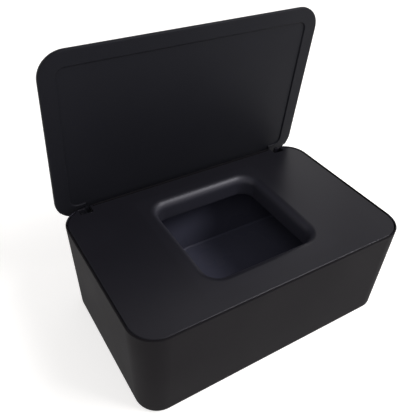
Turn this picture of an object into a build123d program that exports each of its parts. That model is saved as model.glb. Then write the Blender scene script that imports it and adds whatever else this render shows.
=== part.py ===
from build123d import *
from math import cos, radians, sin, tan
import os

# Countertop wipes dispenser: a tapered tub, a drop-in deck with a rolled opening, and a hinged lid.
# Millimetres. X runs along the length, +Y to the hinge side, +Z up. The origin is the middle of the
# base, on the surface that the feet stand on. The lid is modelled standing open on its stop.

# ---- tub -----------------------------------------------------------------------------------
length = 190.0              # over the rim
width = 120.0
height = 70.0               # rim above the surface the feet stand on
corner_radius = 17.5        # at the rim; the draft narrows it towards the base
draft_angle = 2.5           # all round
wall = 2.0
floor_thickness = 2.2
base_edge_radius = 2.2
floor_chamfer = 1.2         # inside, where the floor meets the walls
rim_land = 1.0              # strip of rim left outside the deck
rim_chamfer = 0.5
ledge_depth = 2.4           # rebate that the deck sits in

# ---- feet ----------------------------------------------------------------------------------
foot_radius = 5.0
foot_thickness = 1.4
foot_recess = 0.8           # depth of its seat in the base
foot_seat_gap = 0.2
foot_inset = 18.5           # foot centre in from the outer face of the rim, in plan

# ---- deck ----------------------------------------------------------------------------------
deck_thickness = 2.0
deck_gap = 0.3              # all round, inside the rim
deck_chamfer = 0.5
flange_wall = 1.6
flange_gap = 0.3            # flange to tub wall
opening_length = 76.0       # clear between the rolled lips
opening_width = 74.0
opening_corner = 9.5
opening_shift = 1.4         # opening centre towards the hinge
roll_radius = 5.3           # top of the rolled lip
collar_wall = 2.0
collar_depth = 14.4         # below the top of the deck
collar_chamfer = 0.5

# ---- hinge ---------------------------------------------------------------------------------
pivot_inset = 3.7           # pin axis in from the back of the rim
pivot_drop = 7.2            # pin axis below the rim
pin_radius = 1.2
pin_running_clearance = 0.05
pin_seat_clearance = 0.02
pin_end_gap = 0.1
knuckle_radius = 2.6
lug_thickness = 3.0
lug_side_gap = 0.4
pocket_width = 8.6
pocket_from_end = 12.8      # outer side of the pocket from the end of the rim
pocket_front_gap = 0.7      # knuckle to the front of the pocket
pocket_back_wall = 1.6      # closes the back of the pocket beside the lug
stop_gap = 0.3              # open lug above the pocket floor it rests on
ear_wall = 1.8
ear_end_wall = 0.6          # left beyond the blind end of the pin bore
housing_wall = 1.6
housing_floor = 1.5
housing_set_back = 0.4      # inside the outer face of the tub
notch_gap = 0.3             # tub notch round the housing

# ---- lid -----------------------------------------------------------------------------------
lid_thickness = 3.0
lid_corner_radius = 16.1
lid_seat_gap = 0.3          # closed lid above the rim
lid_edge_radius = 1.2
lid_inner_chamfer = 0.5
panel_margin = 10.0         # border round the sunk inner panel
panel_depth = 0.8
panel_corner_radius = 5.5
panel_chamfer = 0.5         # along the step from the border to the panel
panel_mouth = 150.0         # length over which the panel runs out to the hinge side
hinge_strip = 7.0           # thinned strip that swings past the rim
open_angle = 84.0           # from closed to the stop

# ---- worked out from the sizes above ---------------------------------------------------------
base_level = foot_thickness - foot_recess
floor_level = base_level + floor_thickness
ledge_level = height - ledge_depth
deck_top = ledge_level + deck_thickness

pivot_y = width / 2 - pivot_inset
pivot_z = height - pivot_drop
pocket_outer = length / 2 - pocket_from_end
pocket_inner = pocket_outer - pocket_width
pocket_front = pivot_y - knuckle_radius - pocket_front_gap
pocket_floor = pivot_z - knuckle_radius - stop_gap
housing_inner = pocket_inner - ear_wall
housing_outer = pocket_outer + ear_wall
housing_front = pocket_front - housing_wall
housing_bottom = pocket_floor - housing_floor
lug_inner = pocket_inner + lug_side_gap
slot_outer = lug_inner + lug_thickness + lug_side_gap
pocket_back = width / 2 - housing_set_back - pocket_back_wall
pin_length = ear_wall + pocket_width + ear_wall - ear_end_wall - pin_end_gap
hinge_sides = {"left": -1, "right": 1}

# The lid's own plane passes through the pin axis, parallel to the lid, with its normal outwards.
lid_plane = Plane(
    origin=(0, pivot_y, pivot_z),
    x_dir=(1, 0, 0),
    z_dir=(0, sin(radians(open_angle)), cos(radians(open_angle))),
)
pin_planes = {
    side: Plane(
        origin=(side * housing_inner, pivot_y, pivot_z), x_dir=(0, 1, 0), z_dir=(side, 0, 0)
    )
    for side in hinge_sides.values()
}
lid_under = pivot_drop + lid_seat_gap       # border of the underside, above the pin axis
panel_level = lid_under + panel_depth
lid_top = lid_under + lid_thickness


def tapered_block(bottom, top, inset, mode=Mode.ADD):
    """Add or take away a block between two levels, drafted like the tub, inset from its outer face."""
    lean = inset + (height - top) * tan(radians(draft_angle))
    with BuildSketch(Plane.XY.offset(top)) as outline:
        RectangleRounded(length - 2 * lean, width - 2 * lean, corner_radius - lean)
    extrude(outline.sketch, amount=bottom - top, taper=draft_angle, mode=mode)


def hinge_blocks(x_inner, x_outer, y_front, y_back, bottom, top, mode=Mode.ADD):
    """Blocks between two distances from the middle, one at each end of the hinge side."""
    with BuildSketch(Plane.XY.offset(bottom)) as footprints:
        for side in hinge_sides.values():
            with Locations((side * (x_inner + x_outer) / 2, (y_front + y_back) / 2)):
                Rectangle(x_outer - x_inner, y_back - y_front)
    extrude(footprints.sketch, amount=top - bottom, mode=mode)


def foot_places():
    """Plan positions of the feet by name."""
    x = length / 2 - foot_inset
    y = width / 2 - foot_inset
    return {
        "front_left": (-x, -y),
        "front_right": (x, -y),
        "back_left": (-x, y),
        "back_right": (x, y),
    }


def save(part, name):
    part.label = name
    export_step(part, f"parts/{name}.step")


os.makedirs("parts", exist_ok=True)

# ---- tub: drafted walls, rebated rim, hinge notches, seats for the feet ------------------------
with BuildPart() as cavity:
    tapered_block(floor_level, height, wall)
    chamfer(cavity.faces().sort_by(Axis.Z)[0].edges(), floor_chamfer)

with BuildPart() as tub:
    tapered_block(base_level, height, 0)
    fillet(tub.faces().sort_by(Axis.Z)[0].edges(), base_edge_radius)
    chamfer(tub.faces().sort_by(Axis.Z)[-1].edges(), rim_chamfer)
    add(cavity.part, mode=Mode.SUBTRACT)
    with BuildSketch(Plane.XY.offset(ledge_level)):
        RectangleRounded(length - 2 * rim_land, width - 2 * rim_land, corner_radius - rim_land)
    extrude(amount=ledge_depth, mode=Mode.SUBTRACT)
    hinge_blocks(
        housing_inner - notch_gap,
        housing_outer + notch_gap,
        housing_front,
        width / 2,
        housing_bottom - notch_gap,
        height,
        mode=Mode.SUBTRACT,
    )
    with BuildSketch(Plane.XY.offset(base_level)):
        with Locations(*foot_places().values()):
            Circle(foot_radius + foot_seat_gap)
    extrude(amount=foot_recess, mode=Mode.SUBTRACT)
save(tub.part, "tub")

# ---- feet: soft discs seated in the base -------------------------------------------------------
for place, centre in foot_places().items():
    with BuildPart() as foot:
        with BuildSketch(Plane.XY):
            with Locations(centre):
                Circle(foot_radius)
        extrude(amount=foot_thickness)
    save(foot.part, f"foot_{place}")

# ---- deck: plate in the rebate, flange inside the wall, rolled opening, hinge housings ---------
with BuildPart() as housings:
    hinge_blocks(housing_inner, housing_outer, housing_front, width / 2, housing_bottom, deck_top)
    tapered_block(housing_bottom, deck_top, housing_set_back, mode=Mode.INTERSECT)

with BuildPart() as flange:
    tapered_block(housing_bottom, ledge_level, wall + flange_gap)
    tapered_block(housing_bottom, ledge_level, wall + flange_gap + flange_wall, mode=Mode.SUBTRACT)

with BuildPart() as deck:
    deck_inset = rim_land + deck_gap
    with BuildSketch(Plane.XY.offset(ledge_level)):
        RectangleRounded(
            length - 2 * deck_inset, width - 2 * deck_inset, corner_radius - deck_inset
        )
    extrude(amount=deck_thickness)
    chamfer(deck.faces().sort_by(Axis.Z)[-1].edges(), deck_chamfer)

    # collar: its root curves out of the plate, then the clear opening and its rolled lip
    with BuildSketch(Plane.XY.offset(deck_top - collar_depth)):
        with Locations((0, opening_shift)):
            RectangleRounded(
                opening_length + 2 * collar_wall,
                opening_width + 2 * collar_wall,
                opening_corner + collar_wall,
            )
    extrude(amount=collar_depth - deck_thickness)
    plate_underside = deck.faces().filter_by(Axis.Z).sort_by(SortBy.AREA)[-2]
    fillet(plate_underside.inner_wires()[0].edges(), roll_radius - deck_thickness)
    with BuildSketch(Plane.XY.offset(deck_top)):
        with Locations((0, opening_shift)):
            RectangleRounded(opening_length, opening_width, opening_corner)
    extrude(amount=-collar_depth, mode=Mode.SUBTRACT)
    fillet(deck.faces().sort_by(Axis.Z)[-1].inner_wires()[0].edges(), roll_radius)
    chamfer(deck.faces().sort_by(Axis.Z)[0].edges(), collar_chamfer)

    # flange and hinge housings, with a pocket for each lug, open at the back only behind the lug,
    # and a bore for each pin
    add(flange.part)
    add(housings.part)
    for outer, back in ((slot_outer, width / 2), (pocket_outer, pocket_back)):
        hinge_blocks(
            pocket_inner, outer, pocket_front, back, pocket_floor, height, mode=Mode.SUBTRACT
        )
    for side in hinge_sides.values():
        with BuildSketch(pin_planes[side]):
            Circle(pin_radius + pin_seat_clearance)
        extrude(amount=pin_length + pin_end_gap, mode=Mode.SUBTRACT)
save(deck.part, "deck")

# ---- hinge pins: seated in the ears, with the lugs turning on them -----------------------------
for side_name, side in hinge_sides.items():
    with BuildPart() as hinge_pin:
        with BuildSketch(pin_planes[side]):
            Circle(pin_radius)
        extrude(amount=pin_length)
    save(hinge_pin.part, f"hinge_pin_{side_name}")

# ---- lid: bordered panel with two lugs, drawn in its own plane ---------------------------------
lid_axis = Axis(lid_plane.origin, lid_plane.z_dir)
with BuildPart() as lid:
    with BuildSketch(lid_plane.offset(lid_under)):
        with Locations((0, -pivot_y)):
            RectangleRounded(length, width, lid_corner_radius)
    extrude(amount=lid_thickness)
    fillet(lid.faces().sort_by(lid_axis)[-1].edges(), lid_edge_radius)
    chamfer(lid.faces().sort_by(lid_axis)[0].edges(), lid_inner_chamfer)

    # sunk panel inside the border, its mouth, and the thinned strip along the hinge side
    with BuildSketch(lid_plane.offset(lid_under)):
        with Locations((0, -pivot_y)):
            RectangleRounded(
                length - 2 * panel_margin, width - 2 * panel_margin, panel_corner_radius
            )
    extrude(amount=panel_depth, mode=Mode.SUBTRACT)
    chamfer(lid.faces().sort_by(lid_axis)[0].inner_wires()[0].edges(), panel_chamfer)
    with BuildSketch(lid_plane.offset(lid_under)):
        for strip_length, reach in ((panel_mouth, panel_margin + panel_chamfer), (length, hinge_strip)):
            with Locations((0, width / 2 - reach / 2 - pivot_y)):
                Rectangle(strip_length, reach)
    extrude(amount=panel_depth, mode=Mode.SUBTRACT)

    for side in hinge_sides.values():
        lug_plane = Plane(
            origin=(side * lug_inner, pivot_y, pivot_z),
            x_dir=lid_plane.y_dir * side,
            z_dir=(side, 0, 0),
        )
        with BuildSketch(lug_plane):
            Circle(knuckle_radius)
            with Locations((0, panel_level / 2)):
                Rectangle(2 * knuckle_radius, panel_level)
            Circle(pin_radius + pin_running_clearance, mode=Mode.SUBTRACT)
        extrude(amount=lug_thickness)
save(lid.part, "lid")
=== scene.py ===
import math

import bpy
from mathutils import Matrix, Vector

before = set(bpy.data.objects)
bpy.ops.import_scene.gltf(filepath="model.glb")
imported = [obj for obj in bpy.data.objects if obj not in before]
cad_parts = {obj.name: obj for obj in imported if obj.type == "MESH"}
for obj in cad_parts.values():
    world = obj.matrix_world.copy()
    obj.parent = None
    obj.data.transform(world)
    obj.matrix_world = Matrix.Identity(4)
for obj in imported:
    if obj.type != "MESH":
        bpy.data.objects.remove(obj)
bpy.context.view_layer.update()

# ---- photograph ----------------------------------------------------------------------------------
IMAGE_WIDTH, IMAGE_HEIGHT = 400, 416
OPTICAL_AXIS_PX = (205.6, 196.5)    # where the camera's axis meets it, from its top left
FOCAL_LENGTH_PX = 521.1
SENSOR = 36.0                       # mm, on the photograph's longer side

CAMERA_TARGET = Vector((0.0193, 0.0642, 0.040))
CAMERA_DISTANCE = 0.4028
CAMERA_AZIMUTH = -32.75
CAMERA_ELEVATION = 37.32
CAMERA_ROLL = 2.47

# ---- light ---------------------------------------------------------------------------------------
ROOM_COLOUR = (1.0, 0.98, 0.965)
ROOM_BRIGHTNESS = (1.0, 0.26)       # level with the table, and overhead
ROOM_FADE = (0.15, 0.56)            # sines of the elevations that one fades to the other between
TABLE_COLOUR = (0.77, 0.752, 0.737)
TABLE_TONES = (1.0, 0.99)           # the table's slow changes of tone
TABLE_WAVES = 3.0
TABLE_LIFT = (0.61, 0.72)           # keeps the table white where it is seen, near and far off
TABLE_FADE = (0.35, 1.4)            # distances that one fades to the other between
TABLE_REACH = 6.0                   # half of the table's width
LIGHT_CENTRE = Vector((0.0, 0.02, 0.05))
LIGHT_DISTANCE = 1.25

# ---- plastic -------------------------------------------------------------------------------------
TONE_RANGE = (0.88, 1.12)           # how far the melt's slow changes of tone go from the mean
GLOSS_RANGE = 0.06                  # how much rougher it gets where its gloss is least
TONE_WAVES, GLOSS_WAVES = 28.0, 19.0        # all waves are counted per metre
# waves of the painted light's paler tone, and of the changed gloss
PAINTED_LIGHT_TONE_WAVES, CHANGED_GLOSS_WAVES = 34.0, 21.0
GRAIN_WAVES, GRAIN_DEPTH, GRAIN_STRENGTH = 2600.0, 0.00002, 0.05
WARP_WAVES, WARP_DEPTH, WARP_STRENGTH = 9.0, 0.0006, 0.12
EDGE_RADIUS = 0.0004

# ---- the tub's inside and the deck's collar, painted paler as painted light, with their own gloss ---
TUB_TOP = 0.070
TUB_HALF_LENGTH, TUB_HALF_WIDTH = 0.094, 0.059      # to the middle of the wall, at the top
TUB_CORNER = 0.0165
TUB_DRAFT = 0.0437
TUB_FLOOR = 0.0017                  # to the middle of the floor's thickness
COLLAR_FADE = (0.0680, 0.06995)     # heights that the collar's painted light and rougher gloss fade to the deck's between
COLLAR_REACH = 0.048                # from the middle of the deck


# ---- node helpers --------------------------------------------------------------------------------
def new_material(name):
    """A plain node material; returns it with its tree and its shader."""
    material = bpy.data.materials.new(name)
    material.use_nodes = True
    tree = material.node_tree
    return material, tree, tree.nodes["Principled BSDF"]


def place_axes(tree, system="Object"):
    """x, y and z of the shaded point, in the object's own axes unless told otherwise."""
    coordinates = tree.nodes.new("ShaderNodeTexCoord")
    split = tree.nodes.new("ShaderNodeSeparateXYZ")
    tree.links.new(coordinates.outputs[system], split.inputs["Vector"])
    return split.outputs["X"], split.outputs["Y"], split.outputs["Z"]


def math_node(tree, operation, first, second=0.0):
    """A math node; either value is a number or another node's output."""
    node = tree.nodes.new("ShaderNodeMath")
    node.operation = operation
    for socket, value in zip(node.inputs, (first, second)):
        if isinstance(value, (int, float)):
            socket.default_value = value
        else:
            tree.links.new(value, socket)
    return node.outputs["Value"]


def length_of(tree, x, y):
    """The length of the level vector with these two parts."""
    squares = (math_node(tree, "MULTIPLY", part, part) for part in (x, y))
    return math_node(tree, "SQRT", math_node(tree, "ADD", *squares))


def noise(tree, scale, detail=3.0):
    """A noise pattern in object coordinates, in waves per metre."""
    coordinates = tree.nodes.new("ShaderNodeTexCoord")
    pattern = tree.nodes.new("ShaderNodeTexNoise")
    pattern.inputs["Scale"].default_value = scale
    pattern.inputs["Detail"].default_value = detail
    tree.links.new(coordinates.outputs["Object"], pattern.inputs["Vector"])
    return pattern.outputs["Fac"]


def spread(tree, value, low, high):
    """Maps the middle of a noise pattern onto low to high."""
    ramp = tree.nodes.new("ShaderNodeMapRange")
    ramp.inputs["From Min"].default_value = 0.3
    ramp.inputs["From Max"].default_value = 0.7
    ramp.inputs["To Min"].default_value = low
    ramp.inputs["To Max"].default_value = high
    tree.links.new(value, ramp.inputs["Value"])
    return ramp.outputs["Result"]


def smooth_step(tree, value, start_and_end, results):
    """Eases from the first result to the second as the value goes from start to end."""
    fade = tree.nodes.new("ShaderNodeMapRange")
    fade.interpolation_type = "SMOOTHSTEP"
    fade.inputs["From Min"].default_value, fade.inputs["From Max"].default_value = start_and_end
    fade.inputs["To Min"].default_value, fade.inputs["To Max"].default_value = results
    tree.links.new(value, fade.inputs["Value"])
    return fade.outputs["Result"]


def blend_colours(tree, factor, first, second):
    """The first colour where the factor is 0, and the second where it is 1."""
    mix = tree.nodes.new("ShaderNodeMix")
    mix.data_type = "RGBA"
    mix.inputs["A"].default_value = (*first, 1.0)
    mix.inputs["B"].default_value = (*second, 1.0)
    tree.links.new(factor, mix.inputs["Factor"])
    return mix.outputs["Result"]


def bumps(tree, height, distance, strength, normal=None):
    """A bump from a height pattern, on top of another normal if one is given."""
    bump = tree.nodes.new("ShaderNodeBump")
    bump.inputs["Distance"].default_value = distance
    bump.inputs["Strength"].default_value = strength
    tree.links.new(height, bump.inputs["Height"])
    if normal is not None:
        tree.links.new(normal, bump.inputs["Normal"])
    return bump.outputs["Normal"]


def rounded_edges(tree, radius):
    """Shading that rolls over sharp edges, as moulded ones do."""
    bevel = tree.nodes.new("ShaderNodeBevel")
    bevel.samples = 6
    bevel.inputs["Radius"].default_value = radius
    return bevel.outputs["Normal"]


def seen_directly(tree):
    """1 for camera, glossy and transmission rays, 0 for the rays that light things."""
    path = tree.nodes.new("ShaderNodeLightPath")
    total = path.outputs["Is Camera Ray"]
    for ray in ("Is Glossy Ray", "Is Transmission Ray"):
        total = math_node(tree, "MAXIMUM", total, path.outputs[ray])
    return total


def in_the_tub(tree):
    """1 inside the middle of the tub's wall and above the middle of its floor, 0 outside."""
    x, y, z = place_axes(tree)
    lean = math_node(tree, "MULTIPLY", math_node(tree, "SUBTRACT", TUB_TOP, z), TUB_DRAFT)
    past_corner = []
    for across, half in ((x, TUB_HALF_LENGTH), (y, TUB_HALF_WIDTH)):
        size = math_node(tree, "ADD", math_node(tree, "ABSOLUTE", across), lean)
        past = math_node(tree, "SUBTRACT", size, half - TUB_CORNER)
        past_corner.append(math_node(tree, "MAXIMUM", past, 0.0))
    return math_node(
        tree, "MULTIPLY",
        math_node(tree, "LESS_THAN", length_of(tree, *past_corner), TUB_CORNER),
        math_node(tree, "GREATER_THAN", z, TUB_FLOOR),
    )


def in_the_collar(tree):
    """1 in the collar round the opening, fading to 0 at the deck's top."""
    x, y, z = place_axes(tree)
    across = math_node(
        tree, "MAXIMUM",
        math_node(tree, "ABSOLUTE", x),
        math_node(tree, "ABSOLUTE", y),
    )
    return math_node(
        tree, "MULTIPLY",
        math_node(tree, "LESS_THAN", across, COLLAR_REACH),
        smooth_step(tree, z, COLLAR_FADE, (1.0, 0.0)),
    )


# ---- finishes ------------------------------------------------------------------------------------
def moulded_plastic(name, tone, sheen, roughness, specular):
    """Satin plastic with a spark-eroded grain, slow changes of tone and gloss, and soft edges."""
    material, tree, shader = new_material(name)
    shader.inputs["Specular IOR Level"].default_value = specular
    shader.inputs["Specular Tint"].default_value = (*sheen, 1.0)
    dark, light = (tuple(level * part for part in tone) for level in TONE_RANGE)
    colour = blend_colours(tree, noise(tree, TONE_WAVES), dark, light)
    flow = noise(tree, GLOSS_WAVES, detail=5.0)
    gloss = spread(tree, flow, roughness, roughness + GLOSS_RANGE)
    tree.links.new(colour, shader.inputs["Base Color"])
    tree.links.new(gloss, shader.inputs["Roughness"])
    grain = noise(tree, GRAIN_WAVES, detail=2.0)
    edges = rounded_edges(tree, EDGE_RADIUS)
    texture = bumps(tree, grain, GRAIN_DEPTH, GRAIN_STRENGTH, edges)
    warp = noise(tree, WARP_WAVES, detail=1.0)
    surface = bumps(tree, warp, WARP_DEPTH, WARP_STRENGTH, texture)
    tree.links.new(surface, shader.inputs["Normal"])
    return material


def paint_light_and_gloss(material, mask, dark, light, roughness):
    """Gives the part of a material that a mask picks out its own gloss, and paler colours that are
    painted light.
    """
    tree = material.node_tree
    shader = tree.nodes["Principled BSDF"]
    painted_tone_and_gloss = {
        "Base Color": blend_colours(tree, noise(tree, PAINTED_LIGHT_TONE_WAVES), dark, light),
        "Roughness": spread(
            tree, noise(tree, CHANGED_GLOSS_WAVES), roughness, roughness + GLOSS_RANGE
        ),
    }
    for name, finish in painted_tone_and_gloss.items():
        socket = shader.inputs[name]
        mix = tree.nodes.new("ShaderNodeMix")
        mix.data_type = "RGBA" if name == "Base Color" else "FLOAT"
        ends = {item.name: item for item in mix.inputs if item.enabled}
        tree.links.new(mask, ends["Factor"])
        tree.links.new(socket.links[0].from_socket, ends["A"])
        tree.links.new(finish, ends["B"])
        tree.links.new(next(item for item in mix.outputs if item.enabled), socket)


def brushed_steel(name):
    """Drawn stainless wire, with fine changes of tone and gloss."""
    material, tree, shader = new_material(name)
    shader.inputs["Metallic"].default_value = 1.0
    colour = blend_colours(tree, noise(tree, 900.0), (0.52, 0.52, 0.53), (0.66, 0.66, 0.67))
    tree.links.new(colour, shader.inputs["Base Color"])
    tree.links.new(spread(tree, noise(tree, 4200.0), 0.22, 0.38), shader.inputs["Roughness"])
    tree.links.new(bumps(tree, noise(tree, 5200.0), 0.00001, 0.2), shader.inputs["Normal"])
    return material


def rubber(name):
    """Soft matt black rubber."""
    material, tree, shader = new_material(name)
    shader.inputs["Specular IOR Level"].default_value = 0.35
    colour = blend_colours(tree, noise(tree, 700.0), (0.020, 0.020, 0.021), (0.034, 0.033, 0.033))
    texture = bumps(tree, noise(tree, 3000.0), 0.00005, 0.3, rounded_edges(tree, 0.0003))
    tree.links.new(colour, shader.inputs["Base Color"])
    tree.links.new(spread(tree, noise(tree, 900.0), 0.72, 0.88), shader.inputs["Roughness"])
    tree.links.new(texture, shader.inputs["Normal"])
    return material


def finish_node(node, material):
    """Gives a CAD node its finish."""
    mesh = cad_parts[node].data
    mesh.materials.clear()
    mesh.materials.append(material)


tub_plastic = moulded_plastic(
    "tub_plastic",
    tone=(0.0086, 0.0078, 0.0094), sheen=(1.0, 0.96, 0.99), roughness=0.62, specular=0.07,
)
# the tub's inside is painted paler and bluer than the outside, as painted light, and is given a
# glossier finish
paint_light_and_gloss(
    tub_plastic, in_the_tub(tub_plastic.node_tree),
    dark=(0.066, 0.067, 0.098), light=(0.081, 0.082, 0.120), roughness=0.24,
)
deck_plastic = moulded_plastic(
    "deck_plastic",
    tone=(0.0098, 0.0095, 0.0132), sheen=(0.95, 0.93, 1.0), roughness=0.30, specular=0.47,
)
# the collar round the opening is painted paler than the deck, as painted light, and made rougher
paint_light_and_gloss(
    deck_plastic, in_the_collar(deck_plastic.node_tree),
    dark=(0.019, 0.019, 0.027), light=(0.024, 0.024, 0.034), roughness=0.45,
)
lid_plastic = moulded_plastic(
    "lid_plastic",
    tone=(0.0088, 0.0090, 0.0122), sheen=(0.92, 0.93, 1.0), roughness=0.50, specular=0.11,
)
pin_steel = brushed_steel("pin_steel")
foot_rubber = rubber("foot_rubber")

finish_node("tub", tub_plastic)
finish_node("deck", deck_plastic)
finish_node("lid", lid_plastic)
for end in ("left", "right"):
    finish_node(f"hinge_pin_{end}", pin_steel)
    for row in ("front", "back"):
        finish_node(f"foot_{row}_{end}", foot_rubber)


# ---- table ---------------------------------------------------------------------------------------
def make_table():
    """A wide white table top that stays white where it is seen, and keeps the object's shadow."""
    mesh = bpy.data.meshes.new("table")
    signs = ((-1, -1), (1, -1), (1, 1), (-1, 1))
    corners = [(x * TABLE_REACH, y * TABLE_REACH, 0.0) for x, y in signs]
    mesh.from_pydata(corners, [], [(0, 1, 2, 3)])
    table = bpy.data.objects.new("table", mesh)
    bpy.context.scene.collection.objects.link(table)
    material, tree, shader = new_material("table_white")
    first, second = (tuple(level * part for part in TABLE_COLOUR) for level in TABLE_TONES)
    colour = blend_colours(tree, noise(tree, TABLE_WAVES), first, second)
    tree.links.new(colour, shader.inputs["Base Color"])
    shader.inputs["Roughness"].default_value = 0.9
    shader.inputs["Specular IOR Level"].default_value = 0.1
    shader.inputs["Emission Color"].default_value = (1.0, 1.0, 1.0, 1.0)
    x, y, _ = place_axes(tree)
    glow = smooth_step(tree, length_of(tree, x, y), TABLE_FADE, TABLE_LIFT)
    lift = math_node(tree, "MULTIPLY", seen_directly(tree), glow)
    tree.links.new(lift, shader.inputs["Emission Strength"])
    mesh.materials.append(material)


def make_world():
    """A soft room, white at the height of the table and dimmer overhead."""
    world = bpy.data.worlds.new("studio")
    bpy.context.scene.world = world
    world.use_nodes = True
    tree = world.node_tree
    room = tree.nodes["Background"]
    room.inputs["Color"].default_value = (*ROOM_COLOUR, 1.0)
    height = place_axes(tree, "Generated")[2]
    fade = smooth_step(tree, height, ROOM_FADE, ROOM_BRIGHTNESS)
    tree.links.new(fade, room.inputs["Strength"])


def softbox(name, azimuth, elevation, width, height, radiance, mirrored=True):
    """An area lamp that faces the object, and is mirrored in it unless told otherwise.

    Azimuth is in degrees from +Y towards +X, and a radiance of 1 looks white."""
    turn, rise = math.radians(azimuth), math.radians(elevation)
    way = Vector((math.sin(turn) * math.cos(rise), math.cos(turn) * math.cos(rise), math.sin(rise)))
    lamp = bpy.data.lights.new(name, "AREA")
    lamp.shape = "RECTANGLE"
    lamp.size, lamp.size_y = width, height
    lamp.energy = radiance * math.pi * width * height
    holder = bpy.data.objects.new(name, lamp)
    bpy.context.scene.collection.objects.link(holder)
    holder.location = LIGHT_CENTRE + way * LIGHT_DISTANCE
    holder.rotation_mode = "QUATERNION"
    holder.rotation_quaternion = way.to_track_quat("Z", "Y")
    holder.visible_camera = False
    holder.visible_glossy = mirrored


def make_camera():
    """The photograph's camera: its place, focal length, optical axis and roll."""
    azimuth, elevation, roll = (
        math.radians(angle) for angle in (CAMERA_AZIMUTH, CAMERA_ELEVATION, CAMERA_ROLL)
    )
    back = Vector((
        math.sin(azimuth) * math.cos(elevation),
        -math.cos(azimuth) * math.cos(elevation),
        math.sin(elevation),
    ))
    level_right = (-back).cross(Vector((0, 0, 1))).normalized()
    level_up = level_right.cross(-back)
    right = level_right * math.cos(roll) + level_up * math.sin(roll)
    up = level_up * math.cos(roll) - level_right * math.sin(roll)

    camera = bpy.data.cameras.new("camera")
    camera.sensor_width = SENSOR
    camera.lens = FOCAL_LENGTH_PX * SENSOR / IMAGE_HEIGHT
    camera.shift_x = (IMAGE_WIDTH / 2 - OPTICAL_AXIS_PX[0]) / IMAGE_HEIGHT
    camera.shift_y = (OPTICAL_AXIS_PX[1] - IMAGE_HEIGHT / 2) / IMAGE_HEIGHT
    camera.clip_start, camera.clip_end = 0.01, 50.0
    holder = bpy.data.objects.new("camera", camera)
    bpy.context.scene.collection.objects.link(holder)
    turn = Matrix((right, up, back)).transposed().to_4x4()
    holder.matrix_world = Matrix.Translation(CAMERA_TARGET + back * CAMERA_DISTANCE) @ turn
    bpy.context.scene.camera = holder


make_table()
make_world()
softbox("key_softbox", azimuth=132, elevation=49, width=0.60, height=0.55, radiance=10.5)
softbox("back_softbox", azimuth=40, elevation=46, width=0.50, height=0.85, radiance=0.36)
softbox(
    "side_fill", azimuth=-132, elevation=48, width=0.50, height=0.50, radiance=2.6,
    mirrored=False,
)
make_camera()

scene = bpy.context.scene
scene.view_settings.view_transform = "Standard"
